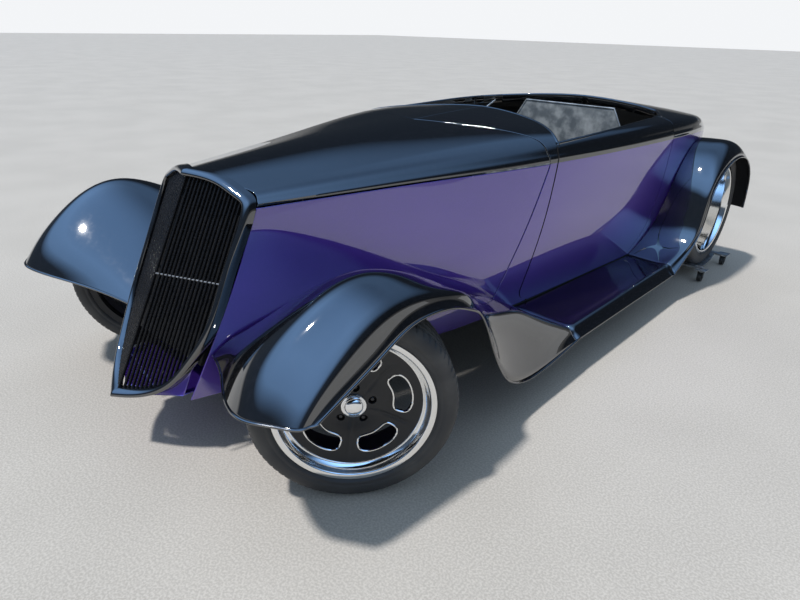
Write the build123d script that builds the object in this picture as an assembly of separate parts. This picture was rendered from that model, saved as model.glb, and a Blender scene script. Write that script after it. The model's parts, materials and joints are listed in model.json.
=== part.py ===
"""Street rod roadster: V-nosed body on a long wheelbase, one STEP file per part.

Millimetres, +Z up, ground at z = 0, the car faces -Y and +X is its left side. Everything is
laid out from a line across the car just ahead of the front axle (y = 0), and the helpers take
Y0 off every y they are given, so that the whole car is centred on the origin.
"""
import os
from math import cos, radians, sin

from build123d import *

# chassis and wheels
FRONT_Y, REAR_Y = 84, 2845      # the axles
TRACK_F, TRACK_R = 1364, 1350
STEER = 40                      # front wheels stand turned this far to the car's right
TYRE_F, TYRE_R = 314, 340       # tyre radii
TYRE_WF, TYRE_WR = 190, 270     # tyre widths
RIM_F, RIM_R = 244, 266         # rim flange radii
WINDOW = 106, 180, 23           # kidney windows: inner and outer radius, half angle
WINDOW_TURN = 12                # the first one's angle, up from straight aft
LIFT = 40                       # rear tyres stand this far off the floor, on the dollies
KINGPIN_X = 642
STUB_R = 16                     # stub axle
RAIL_X, RAIL_W, RAIL_H, RAIL_Z = 240, 50, 94, 105
AXLE_F = TYRE_F                 # axle heights
AXLE_R = TYRE_R + LIFT

# body
SKIN = 8
RAKE = 0.475                    # lean of the grille, mm back per mm up
VEE = 0.49                      # sweep of the grille halves, mm back per mm out
SEAM = 5                        # gap round doors and lids
SEAT = 0.3                      # clearance where one piece rests on another
NOSE_HALF, NOSE_BELT, NOSE_PEAK = 262, 811, 903
NOSE_Y, NOSE_TIP, SHELL_D = 46, 205, 34
BELT = 832
DOOR_FRONT, DOOR_REAR, DOOR_LEAN = 1290, 2290, 0.187
DOOR_SILL = 218
SEAT_HALF, SEAT_FRONT, SEAT_BACK = 594, 1560, 2600
BOARD_Z, BOARD_LIP, BOARD_OUT = 200, 160, 858
FENDER_T = 4
LIP_F, LIP_R = 875, 880
TAIL_Y = 3440
NOSE_MIN = NOSE_Y - RAKE * (NOSE_BELT - NOSE_TIP) - VEE * NOSE_HALF - SHELL_D
Y0 = 0.5 * (TAIL_Y + NOSE_MIN)  # half way from the nose to the tail

os.makedirs("parts", exist_ok=True)


def save(name, shape):
    export_step(shape, "parts/%s.step" % name)


def largest(shape):
    return max(shape.solids(), key=lambda s: s.volume)


def mirror_x(shape):
    return mirror(shape, about=Plane.YZ)


def box(x, y, z):
    """A block between pairs of limits."""
    return Pos((x[0] + x[1]) / 2, (y[0] + y[1]) / 2 - Y0, (z[0] + z[1]) / 2) * Box(
        abs(x[1] - x[0]), y[1] - y[0], z[1] - z[0])


def along_x(radius, x, y, z):
    """A round bar between two x limits."""
    return Pos((x[0] + x[1]) / 2, y - Y0, z) * Rot(0, 90, 0) * Cylinder(radius, abs(x[1] - x[0]))


def side_prism(points, x):
    """A (y, z) outline pushed between two x limits."""
    wire = Polyline([Vector(min(x), y - Y0, z) for y, z in points + points[:1]])
    return extrude(make_face(wire), amount=abs(x[1] - x[0]), dir=(1, 0, 0))


def plan_prism(points, z, lean=0.0):
    """An (x, y) outline pushed between two z limits, leaning back with height."""
    rise = z[1] - z[0]
    wire = Polyline([Vector(px, py - Y0 + lean * z[0], z[0]) for px, py in points + points[:1]])
    way = Vector(0, lean, 1)
    return extrude(make_face(wire), amount=rise * way.length, dir=way)


def eased(rows):
    """Rows of numbers with one more between each pair, on a cubic through their neighbours."""
    out = []
    for i, row in enumerate(rows[:-1]):
        a, c, d = rows[max(i - 1, 0)], rows[i + 1], rows[min(i + 2, len(rows) - 1)]
        out += [row, [(9 * (q + r) - p - t) / 16 for p, q, r, t in zip(a, row, c, d)]]
    return out + rows[-1:]


# Body stations, front to tail: y at the belt, lean, half width at the belt and the sill,
# belt height, shoulder rise and inset, height on the centre line, sill height.
STATIONS = [
    ("y", "lean", "half", "sill", "belt", "up", "inset", "top", "base"),
    (-110, RAKE, 220, 208, 807, 45, 48, 880, 215),
    (640, 0.455, 420, 376, 822, 82, 92, 940, 205),
    (1245, 0.440, 585, 505, BELT, 108, 112, 972, 200),
    (1760, 0.100, 650, 560, BELT, 93, 60, 985, 200),
    (DOOR_REAR, 0.000, 684, 594, BELT, 93, 60, 985, 200),
    (2850, 0.000, 640, 562, 812, 88, 92, 938, 230),
    (3220, 0.000, 520, 470, 720, 75, 90, 800, 290),
    (TAIL_Y, 0.000, 400, 370, 560, 40, 50, 610, 360),
]


def body_section(row, skin):
    y, lean, half, sill, belt, up, inset, top, base = row
    half, sill, top, base = half - skin, sill - skin, top - skin, base + skin
    up = max(up - skin, 12)

    def at(x, z):
        return Vector(x, y - Y0 + lean * (z - belt), z)

    def half_side(s):
        mid = at(s * (half + 0.35 * (sill - half) + 9), base + 0.55 * (belt - base))
        shoulder = at(s * (half - inset), belt + up)
        round_over = at(s * (half - 0.26 * inset), belt + 0.70 * up)
        crown = at(s * (half - inset) / 2, (belt + up) * 0.30 + top * 0.70)
        return [ThreePointArc(at(s * sill, base), mid, at(s * half, belt)),
                ThreePointArc(at(s * half, belt), round_over, shoulder),
                ThreePointArc(shoulder, crown, at(0, top))]

    edges = half_side(1) + half_side(-1)[::-1] + [Line(at(-sill, base), at(sill, base))]
    return Wire(edges)


def body_solid(skin):
    rows = eased([list(r) for r in STATIONS[1:]])
    rows[0][0] -= 2.5 * skin
    rows[-1][0] -= skin
    return Solid.make_loft([body_section(r, skin) for r in rows])


outer = body_solid(0)
inner = body_solid(SKIN)
liner = body_solid(45)
skin = outer - inner - box((-180, 180), (-400, 60), (0, 1200))

# The nose: everything ahead of the raked, V-shaped seam belongs to the grille shell.
corner = NOSE_Y - RAKE * NOSE_BELT


def vee_slab(front, back, half=700):
    """The space between two copies of the raked V, measured ahead of and behind the seam."""
    tip = corner - VEE * NOSE_HALF
    plan = [(0, tip - front), (half, tip - front + VEE * half), (half, tip + back + VEE * half),
            (0, tip + back), (-half, tip + back + VEE * half), (-half, tip - front + VEE * half)]
    return plan_prism(plan, (0, 1200), RAKE)


ahead = vee_slab(1200, SEAM / 2)
body = skin - ahead

# Hood, cowl and tub are cut from the one skin along the real seams.
hood_back = [(0, 1058), (120, 1098), (300, 1160), (450, 1205), (620, 1240)]


def hood_zone(gap):
    plan = [(-x, y - gap) for x, y in hood_back[::-1]] + [(x, y - gap) for x, y in hood_back[1:]]
    plan += [(900, 1240 - gap), (900, -900), (-900, -900), (-900, 1240 - gap)]
    side = [(-900, 0), (1245 - 0.44 * BELT - gap, 0), (1245 - gap, BELT), (1250 - gap, 1200),
            (-900, 1200)]
    return plan_prism(plan, (BELT + 60, 1200)) + side_prism(side, (-900, 900)) \
        - (box((-900, 900), (0, 1400), (BELT + 60, 1200)) - plan_prism(plan, (BELT + 60, 1200)))


belt_line = [(-900, NOSE_BELT - 14), (NOSE_Y, NOSE_BELT), (1245, BELT), (1700, BELT + 8)]


def over_belt(gap):
    pts = [(y, z + gap) for y, z in belt_line] + [(1700, 1300), (-900, 1300)]
    return side_prism(pts, (-900, 900))


def under_belt(gap):
    pts = [(y, z - gap) for y, z in belt_line] + [(1700, -100), (-900, -100)]
    return side_prism(pts, (-900, 900))


hood = body & hood_zone(SEAM)
hood_top = hood & over_belt(SEAM / 2)
hood_low = (hood & under_belt(SEAM / 2)) - box((-200, 200), (-900, 1400), (0, 1200)) \
    - box((-900, 900), (-900, 1400), (0, 214)) \
    - box((-900, 900), (FRONT_Y - 75, FRONT_Y + 75), (0, AXLE_F + 145))
save("hood_top", hood_top)
hood_left = hood_low & box((0, 900), (-900, 1500), (0, 1200))
save("hood_side_left", hood_left)
save("hood_side_right", mirror_x(hood_left))

tub = body - hood_zone(0)

# Cockpit opening: a rounded plan cut through the top of the tub.
cockpit = plan_prism([(0, SEAT_FRONT), (200, 1530), (400, 1445), (520, 1375), (SEAT_HALF - 20, 1330),
                      (SEAT_HALF, 1400), (SEAT_HALF + 2, 1800), (SEAT_HALF, 2200),
                      (SEAT_HALF - 30, 2360), (500, 2480), (350, 2555), (180, 2590),
                      (0, SEAT_BACK), (-180, 2590), (-350, 2555), (-500, 2480),
                      (30 - SEAT_HALF, 2360), (-SEAT_HALF, 2200), (-SEAT_HALF - 2, 1800),
                      (-SEAT_HALF, 1400), (20 - SEAT_HALF, 1330), (-520, 1375), (-400, 1445),
                      (-200, 1530)], (BELT + 30, 1200))
tub = tub - cockpit

# Doors: a leaning front edge, an upright hinge edge and rounded lower corners.


def door_zone(gap, x=(300, 900)):
    g = SEAM - gap
    foot = DOOR_FRONT - DOOR_LEAN * (BELT - DOOR_SILL)
    pts = [(DOOR_FRONT + DOOR_LEAN * 400 + g, BELT + 400), (foot + 22 + g, DOOR_SILL + 70 + g),
           (foot + 28 + g, DOOR_SILL + 30 + g), (foot + 48 + g, DOOR_SILL + 8 + g),
           (foot + 90 + g, DOOR_SILL + g), (DOOR_REAR - 180 - g, DOOR_SILL + g),
           (DOOR_REAR - 90 - g, DOOR_SILL + 22 + g), (DOOR_REAR - 35 - g, DOOR_SILL + 76 + g),
           (DOOR_REAR - 8 - g, DOOR_SILL + 140 + g), (DOOR_REAR - g, DOOR_SILL + 210 + g),
           (DOOR_REAR - g, BELT + 400)]
    return side_prism(pts, x)


cowl_top = box((-560, 560), (1000, 1500), (BELT + 30, 1200))
door = tub & (door_zone(0) - cowl_top)
door = door + ((inner & door_zone(-22, (500, 900))) - liner - cockpit - cowl_top)
save("door_left", door)
save("door_right", mirror_x(door))
for x in ((300, 900), (-900, -300)):
    tub = tub - (door_zone(SEAM, x) - cowl_top)

# Wheel houses behind the doors, the deck lid, then cowl, rear body and floor.
house = [along_x(TYRE_R + 28, (s * 505, s * 900), REAR_Y, AXLE_R) for s in (1, -1)]
tub = tub - house[0] - house[1]
LID_HALF, LID_FRONT, LID_REAR = 330, 2760, 3380


def lid_zone(gap):
    return box((-LID_HALF + gap, LID_HALF - gap), (LID_FRONT + gap, LID_REAR - gap), (560, 1200))


save("deck_lid", tub & lid_zone(SEAM))
tub = tub - lid_zone(0)
tub = tub - box((-RAIL_X - 60, RAIL_X + 60), (REAR_Y - 130, REAR_Y + 130), (0, 320))
floor_cut = box((-900, 900), (1000, TAIL_Y), (0, 209))
save("floor", (tub & floor_cut))
tub = tub - floor_cut
save("cowl", tub & box((-900, 900), (0, 1700), (0, 1200)))
save("rear_body", tub & box((-900, 900), (1700, 3600), (0, 1200)))

# Grille shell: the nose outline with its rounded foot, hollowed for the bars.


def nose_outline(inset, peak, foot):
    """Front view of the nose: flat crown with a slight peak, upright sides, rounded foot."""
    h = NOSE_HALF - inset
    z_foot = foot + inset

    def arc(s, *points):
        return ThreePointArc(*[(s * x, -Y0, z) for x, z in points])

    def side(s):
        return [arc(s, (0, peak), (0.52 * h, peak - 17), (h - 50, peak - 47)),
                arc(s, (h - 50, peak - 47), (h - 14, peak - 68), (h, peak - 112)),
                Line((s * h, -Y0, peak - 112), (s * (h - 10), -Y0, 430)),
                arc(s, (h - 10, 430), (h - 75, z_foot + 72), (0, z_foot))]
    return Wire(side(1) + side(-1)[::-1])


def nose_prism(inset, peak, foot):
    return extrude(Face(nose_outline(inset, peak, foot)), amount=1500, dir=(0, -1, 0)) \
        + extrude(Face(nose_outline(inset, peak, foot)), amount=600, dir=(0, 1, 0))


shell_core = nose_prism(0, NOSE_PEAK, NOSE_TIP)
window = nose_prism(26, NOSE_PEAK - 14, NOSE_TIP + 6)
shell = (shell_core & vee_slab(SHELL_D, -SEAM / 2)) - (window & vee_slab(90, 40))
save("grille_shell", shell)

# Grille bars: blades square to the sweep of each half, trimmed by the rounded opening.
BAR_PITCH, BAR_T, BAR_DEEP, TIE_Z = 14.0, 4.0, 18, 590
tip = corner - VEE * NOSE_HALF
blades = []
for i in range(17):
    x0 = 4 + i * BAR_PITCH if i else 0
    for s in ((1, -1) if i else (1,)):
        y = tip - 22 + VEE * x0
        blades.append(plan_prism([(s * x0 - BAR_T / 2, y), (s * x0 + BAR_T / 2, y),
                                  (s * x0 + BAR_T / 2, y + BAR_DEEP),
                                  (s * x0 - BAR_T / 2, y + BAR_DEEP)], (150, 950), RAKE))
tie = vee_slab(6, 1) & box((-300, 300), (-500, 200), (TIE_Z, TIE_Z + 7))
trimmed = Compound(blades + [tie]) & nose_prism(26 + SEAT, NOSE_PEAK - 14 - SEAT, NOSE_TIP + 6 + SEAT)
first, *rest = trimmed.solids()
save("grille_bars", first.fuse(*rest))

# Front fender stations: a plane through two (y, z) points, and where the inner edge, crown,
# shoulder and lip lie on it. Each point is x, y, z; the skirt grows behind the wheel.
FRONT = [
    ("inner", "crown", "shoulder", "lip"),
    ((285, -160, 457), (716, -350, 457), (866, -268, 457), (LIP_F - 2, -242, 457)),
    ((258, -110, 461), (690, -299, 570), (866, -194, 510), (LIP_F, -165, 493)),
    ((268, -19, 546), (655, -125, 731), (867, -42, 587), (LIP_F, -25, 556)),
    ((283, 100, 603), (640, 100, 768), (868, 100, 640), (LIP_F, 100, 608)),
    ((298, 258, 614), (640, 315, 712), (866, 265, 626), (LIP_F, 252, 603)),
    ((340, 405, 596), (640, 460, 642), (851, 387, 581), (LIP_F - 1, 364, 562)),
    ((398, 575, 513), (625, 607, 524), (826, 495, 483), (LIP_F - 2, 453, 468)),
    ((440, 723, 409), (632, 733, 430), (806, 711, 384), (LIP_F - 5, 623, 202)),
    ((470, 900, 333), (640, 900, 338), (810, 900, 302), (LIP_F - 9, 900, 142)),
    ((495, 1150, BOARD_Z), (650, 1150, BOARD_Z + 3), (822, 1150, BOARD_Z), (BOARD_OUT, 1150, BOARD_LIP)),
]
REAR = [
    ("inner", "crown", "shoulder", "lip"),
    ((535, 2200, BOARD_Z), (650, 2200, BOARD_Z + 3), (822, 2200, BOARD_Z), (BOARD_OUT, 2200, BOARD_LIP)),
    ((560, 2395, 340), (730, 2372, 340), (868, 2392, 340), (LIP_R - 4, 2418, 340)),
    ((575, 2492, 516), (740, 2440, 559), (870, 2462, 547), (LIP_R, 2483, 535)),
    ((578, 2614, 680), (745, 2590, 739), (871, 2624, 680), (LIP_R, 2634, 662)),
    ((575, 2820, 757), (745, 2820, 784), (871, 2820, 716), (LIP_R, 2820, 696)),
    ((560, 3036, 704), (745, 3035, 713), (870, 3010, 669), (LIP_R, 3003, 657)),
    ((530, 3184, 547), (735, 3188, 552), (866, 3156, 534), (LIP_R - 2, 3149, 530)),
    ((495, 3222, 340), (725, 3226, 340), (860, 3204, 340), (LIP_R - 6, 3194, 340)),
]


def fender_section(row):
    """A thin C: up from the body over the crown, round the shoulder and down to the lip."""
    a, c, r, l = (Vector(row[i], row[i + 1] - Y0, row[i + 2]) for i in (0, 3, 6, 9))
    across = Vector(1, 0, 0)
    up = (c - a) - across * (c - a).X
    up = up.normalized() if up.length > 1 else Vector(0, 0, 1)

    def quarter(p, q, high):
        flat, tall = Vector(q.X - p.X, 0, 0), (q - p) - across * (q.X - p.X)
        return p + flat * (0.32 if high else 0.68) + tall * (0.74 if high else 0.26)

    m1, m2, m3 = quarter(a, c, True), quarter(c, r, False), (r + l) * 0.5 - across * 3
    t = FENDER_T
    pts = [a, m1, c, m2, r, m3, l]
    low = []
    for i, p in enumerate(pts):
        run = (pts[min(i + 1, 6)] - pts[max(i - 1, 0)]).normalized()
        low.append(p - (up * run.X - across * run.dot(up)) * t)
    top = [ThreePointArc(a, m1, c), ThreePointArc(c, m2, r), ThreePointArc(r, m3, l)]
    under = [ThreePointArc(low[6], low[5], low[4]), ThreePointArc(low[4], low[3], low[2]),
             ThreePointArc(low[2], low[1], low[0])]
    return Wire(top + [Line(l, low[6])] + under + [Line(low[0], a)])


front_rows, rear_rows = ([[v for p in row for v in p] for row in rows[1:]]
                         for rows in (FRONT, REAR))
front_fender = Solid.make_loft([fender_section(r) for r in eased(front_rows)]) - outer
rear_fender = Solid.make_loft([fender_section(r) for r in eased(rear_rows)]) - outer \
    - box((0, 620), (2330, 2480), (205, 420))
board = Solid.make_loft([fender_section(front_rows[-1]), fender_section(rear_rows[0])],
                        True) - outer
for part, shape in (("front_fender", front_fender), ("rear_fender", rear_fender),
                    ("running_board", board)):
    save(part + "_left", largest(shape))
    save(part + "_right", mirror_x(largest(shape)))

# Frame, engine block and firewall.
rails = [box((s * RAIL_X - RAIL_W / 2, s * RAIL_X + RAIL_W / 2), (-40, 3300),
             (RAIL_Z, RAIL_Z + RAIL_H)) for s in (1, -1)]
frame = rails[0] + rails[1] - outer
for y in (0, 1050, 1900, 2500, 3250):
    frame = frame + box((-RAIL_X, RAIL_X), (y - 30, y + 30), (RAIL_Z + 8, RAIL_Z + RAIL_H - 8))
for s in (1, -1):                # posts under the radiator
    frame = frame + side_prism([(-30, RAIL_Z + RAIL_H - 9), (10, RAIL_Z + RAIL_H - 9),
                                (-68, 320 - SEAT), (-112, 320 - SEAT)], (s * 150, s * 180))
save("frame", frame)
engine_foot = RAIL_Z + RAIL_H + SEAT
save("engine_block", box((-200, 200), (330, 950), (engine_foot, 760))
     + box((-RAIL_X, RAIL_X), (600, 660), (engine_foot, engine_foot + 40)))

# Front suspension: a crossmember with one wishbone pair a side, fixed.
sus = box((-RAIL_X - 25, RAIL_X + 25), (FRONT_Y - 35, FRONT_Y + 60),
          (RAIL_Z + RAIL_H + SEAT, RAIL_Z + RAIL_H + 46))
for s in (1, -1):
    for z in (AXLE_F - 100, AXLE_F + 100):
        sus = sus + along_x(13, (s * 225, s * (KINGPIN_X - 15)), FRONT_Y, z)
    sus = sus + box((s * 215, s * 265), (FRONT_Y - 35, FRONT_Y + 35),
                    (RAIL_Z + RAIL_H + SEAT, AXLE_F + 125))
save("front_suspension", sus)

# Radiator: a raked core on the frame's posts, inside the hood sides.
core = NOSE_Y + 12 - RAKE * NOSE_BELT
radiator = plan_prism([(-212, core), (212, core), (212, core + 55), (-212, core + 55)], (320, 826), RAKE)
save("radiator", radiator)


def upright():
    post = Pos(KINGPIN_X, FRONT_Y - Y0, AXLE_F) * Cylinder(18, 236)
    for z in (AXLE_F - 100, AXLE_F + 100):
        post = post - box((500, KINGPIN_X + 9), (FRONT_Y - 19, FRONT_Y + 19), (z - 19, z + 19))
    return post + along_x(STUB_R, (KINGPIN_X, TRACK_F / 2 - 6), FRONT_Y, AXLE_F)


def steered(shape, s):
    """Turn a front corner about its own kingpin, both to the car's right."""
    return shape.rotate(Axis((s * KINGPIN_X, FRONT_Y - Y0, 0), (0, 0, 1)), -STEER)


def turned(profile, x0, y, z):
    """Spin a closed (radius, x) outline about a wheel's axle."""
    wire = Polyline([Vector(x0 + x, y - Y0, z + r) for r, x in profile + profile[:1]])
    return revolve(make_face(wire), axis=Axis((0, y - Y0, z), (1, 0, 0)))


def tyre(radius, width, flange, x0, y, z):
    """Hollow tyre whose beads sit on the rim's seats, inside its flanges."""
    w = width / 2
    half = [(flange - 16 + SEAT, w - 34), (flange - 16 + SEAT, w - 10 - SEAT),
            (flange + 2, w - 10 - SEAT), (flange + 8, w - 3), (flange + 24, w),
            (radius - 24, w - 2), (radius - 8, w - 9), (radius - 1.5, w - 24)]
    hollow = [(radius - 14, w - 26), (flange + 14, w - 16)]
    outline = half + [(radius, 0)] + [(r, -x) for r, x in half[::-1]] \
        + [(r, -x) for r, x in hollow[::-1]] + [(radius - 12, 0)] + hollow
    return turned(outline, x0, y, z)


def bead_seats(f, w):
    """Flange and bead seat of a rim's back half, from the drop centre to the inner edge."""
    return [(f - 34, -w + 46), (f - 17, -w + 34), (f - 16, -w + 10), (f, -w + 10), (f, -w + 4),
            (f - 24, -w + 8), (f - 25, -w + 34), (f - 42, -w + 48)]


def kidney(x0, y, z, a, deep):
    """A kidney window from x0 through the face: a sector between two radii about angle a."""
    def at(r, da):
        b = radians(a + da)
        return Vector(x0, y - Y0 + r * cos(b), z + r * sin(b))
    r0, r1, h = WINDOW
    rim = Wire([ThreePointArc(at(r0, -h), at(r0, 0), at(r0, h)), Line(at(r0, h), at(r1, h)),
                ThreePointArc(at(r1, h), at(r1, 0), at(r1, -h)), Line(at(r1, -h), at(r0, -h))])
    return extrude(Face(rim), amount=deep, dir=(1, 0, 0))


def front_rim(x0):
    """Stepped lip, dished face with five kidney windows and five lug pockets in line."""
    w = TYRE_WF / 2
    f = RIM_F
    barrel = [(f, w - 4), (f, w - 10), (f - 16, w - 10), (f - 17, w - 34), (f - 34, w - 52)] \
        + bead_seats(f, w) + [(f - 42, w - 36), (f - 34, w - 17), (f - 20, w - 10), (f - 12, w - 3)]
    face = [(0, w - 42), (WINDOW[0] - 10, w - 50), (f - 38, w - 34), (f - 38, w - 46),
            (WINDOW[0] - 10, w - 62), (0, w - 62)]
    rim = turned(barrel, x0, FRONT_Y, AXLE_F) + turned(face, x0, FRONT_Y, AXLE_F)
    for k in range(5):
        a = WINDOW_TURN + 72 * k
        b = radians(a)
        rim = rim - kidney(x0 - 10, FRONT_Y, AXLE_F, a, 140) \
            - along_x(13, (x0 + w - 56, x0 + w), FRONT_Y + 57 * cos(b), AXLE_F + 57 * sin(b))
    hub = along_x(52, (x0 - 16, x0 + w - 60), FRONT_Y, AXLE_F)
    return rim + hub + along_x(37, (x0 + w - 62, x0 + w - 22), FRONT_Y, AXLE_F)


def rear_rim(x0):
    w, f = TYRE_WR / 2, RIM_R
    barrel = [(f, w - 4), (f, w - 10), (f - 16, w - 10), (f - 17, w - 34), (f - 26, 30), (f - 34, 0)] \
        + bead_seats(f, w) + [(f - 48, -34), (78, -28), (0, -28), (0, -4), (78, -4), (f - 60, -10),
                              (f - 34, 30), (f - 26, w - 20), (f - 20, w - 10), (f - 12, w - 3)]
    rim = turned(barrel, x0, REAR_Y, AXLE_R) + along_x(34, (x0 - 20, x0 + 18), REAR_Y, AXLE_R)
    for k in range(5):
        rim = rim - kidney(x0 - 80, REAR_Y, AXLE_R, WINDOW_TURN + 72 * k, 90)
    return rim - along_x(STUB_R + SEAT, (x0 - 60, x0 - 10), REAR_Y, AXLE_R)


for side, s in (("left", 1), ("right", -1)):
    xf, xr = TRACK_F / 2, TRACK_R / 2

    def place(shape):
        return shape if s > 0 else mirror_x(shape)

    save("upright_" + side, steered(place(upright()), s))
    rim = front_rim(xf) - along_x(STUB_R + SEAT, (0, xf - 5), FRONT_Y, AXLE_F)
    save("front_rim_" + side, steered(place(rim), s))
    save("front_tyre_" + side, steered(place(tyre(TYRE_F, TYRE_WF, RIM_F, xf, FRONT_Y, AXLE_F)), s))
    save("rear_rim_" + side, place(rear_rim(xr)))
    save("rear_tyre_" + side, place(tyre(TYRE_R, TYRE_WR, RIM_R, xr, REAR_Y, AXLE_R)))

# Rear axle between the wheels.
axle = along_x(38, (-TRACK_R / 2 + 34, TRACK_R / 2 - 34), REAR_Y, AXLE_R) \
    + along_x(105, (-90, 90), REAR_Y, AXLE_R) \
    + along_x(STUB_R, (12 - TRACK_R / 2, TRACK_R / 2 - 12), REAR_Y, AXLE_R)
for s in (1, -1):
    axle = axle + box((s * (RAIL_X - 22), s * (RAIL_X + 22)), (REAR_Y - 32, REAR_Y + 32),
                      (RAIL_Z + RAIL_H + SEAT, AXLE_R))
save("rear_axle", axle)

# Grey bulkhead behind the seats, and the two braces under the cowl.
panel = inner & side_prism([(2365, 215), (2373, 215), (2432, 935), (2424, 935)], (-700, 700))
trim = Polyline([Vector(x, 2300 - Y0, z) for x, z in (
    (-700, 215), (700, 215), (700, 600), (420, 700), (284, 935), (-284, 935), (-420, 700),
    (-700, 600), (-700, 215))])
save("bulkhead", panel & extrude(make_face(trim), amount=300, dir=(0, 1, 0)))
save("firewall", (inner & side_prism([(1062, 212), (1070, 212), (1150, 700), (1142, 700)],
                                     (-900, 900))))

# Lower nose panel between the fenders.
valance = plan_prism([(-285, -150), (-150, -235), (0, -300), (150, -235), (285, -150), (280, -142),
                      (150, -226), (0, -290), (-150, -226), (-280, -142)], (178, 214), 0.5)
save("valance", valance)

# Wheel dollies: a dished tray for the tyre between two rails, on castors.
for side, s in (("left", 1), ("right", -1)):
    xc = TRACK_R / 2
    tray = (box((xc - 150, xc + 150), (REAR_Y - 160, REAR_Y + 160), (34, 100))
         & along_x(TYRE_R + 4.4, (xc - 150, xc + 150), REAR_Y, AXLE_R)) \
        - along_x(TYRE_R + 0.4, (xc - 151, xc + 151), REAR_Y, AXLE_R)
    dolly = tray
    for e in (-1, 1):
        y = REAR_Y + e * 172
        dolly = dolly + box((xc - 190, xc + 190), (y - 18, y + 18), (66, 76))
        for d in (-1, 1):
            x = xc + d * 190
            dolly = dolly + box((x - 30, x + 30), (y - 30 + e * 26, y + 30 + e * 26), (66, 72))
    wheels = []
    for e in (-1, 1):
        for d in (-1, 1):
            x, y = xc + d * 190, REAR_Y + e * 198
            wheels.append(along_x(26, (x - 11, x + 11), y, 26)
                          + box((x - 15, x - 12), (y - 12, y + 12), (20, 66 - SEAT))
                          + box((x + 12, x + 15), (y - 12, y + 12), (20, 66 - SEAT))
                          + box((x - 15, x + 15), (y - 4, y + 4), (22, 30)))
    dolly = dolly if s > 0 else mirror_x(dolly)
    group = Compound(wheels) if s > 0 else mirror_x(Compound(wheels))
    save("dolly_" + side, dolly)
    save("dolly_castors_" + side, group)
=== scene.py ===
"""Street rod roadster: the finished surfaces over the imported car, in the car's own frame.

The car faces -Y, +X is its left side and the floor is z = 0. Sizes are written in millimetres,
with y = 0 on a line across the car just ahead of the front axle, and `place` brings them into
the frame's metres.
"""
import json
from functools import partial

import bmesh
import bpy
import numpy as np
from mathutils import Matrix


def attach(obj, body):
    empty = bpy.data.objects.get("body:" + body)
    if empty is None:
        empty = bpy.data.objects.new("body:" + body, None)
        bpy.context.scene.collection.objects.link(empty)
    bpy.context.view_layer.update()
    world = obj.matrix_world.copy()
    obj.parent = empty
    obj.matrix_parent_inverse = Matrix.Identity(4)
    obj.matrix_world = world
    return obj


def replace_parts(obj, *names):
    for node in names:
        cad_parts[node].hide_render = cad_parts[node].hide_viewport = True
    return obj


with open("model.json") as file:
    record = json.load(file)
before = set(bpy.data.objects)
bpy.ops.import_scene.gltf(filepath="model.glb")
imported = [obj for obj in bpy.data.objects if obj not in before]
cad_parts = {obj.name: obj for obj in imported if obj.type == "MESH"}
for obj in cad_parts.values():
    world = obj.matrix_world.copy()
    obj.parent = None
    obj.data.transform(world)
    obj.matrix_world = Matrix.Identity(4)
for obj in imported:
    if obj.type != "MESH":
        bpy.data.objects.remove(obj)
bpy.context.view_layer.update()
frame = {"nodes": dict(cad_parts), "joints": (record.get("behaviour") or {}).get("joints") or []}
joints = {joint["name"]: joint for joint in frame["joints"]}

# The camera stands ahead of the car's left front corner at chest height and looks down along
# its side through a wide lens. The front axle, whose place the frame gives, ties it to the car.
AXLE_Y = 84
DATUM = joints["steer_left"]["pos_m"][1] - AXLE_Y / 1000
EYE = (1832.4, -1012.7, 1335.2)
HEADING, PITCH, ROLL, LENS = 42.34, 24.12, 1.34, 27.69


def place(points):
    """Millimetres from the line at y = 0 become metres in the frame."""
    return np.asarray(points, float) / 1000 + (0.0, DATUM, 0.0)


def unit(vectors):
    """The same directions, each of length 1."""
    return vectors / np.linalg.norm(vectors, axis=-1, keepdims=True)


def add(name, data):
    """A new object in the scene for a mesh, a camera or a lamp."""
    made = bpy.data.objects.new(name, data)
    bpy.context.scene.collection.objects.link(made)
    return made


heading, pitch, roll = np.radians((HEADING, PITCH, ROLL))
ahead = np.array([-np.sin(heading) * np.cos(pitch), np.cos(heading) * np.cos(pitch),
                  -np.sin(pitch)])
right = np.array([np.cos(heading), np.sin(heading), 0])
above = np.cross(right, ahead)
tilted = [np.cos(roll) * right + np.sin(roll) * above, -np.sin(roll) * right + np.cos(roll) * above]
camera = add("camera", bpy.data.cameras.new("camera"))
turn = Matrix(np.column_stack([*tilted, -ahead]).tolist()).to_4x4()
camera.matrix_world = Matrix.Translation(place(EYE)) @ turn
camera.data.lens, camera.data.sensor_width = LENS, 36
bpy.context.scene.camera = camera
bpy.context.scene.view_settings.view_transform = "Standard"


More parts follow.
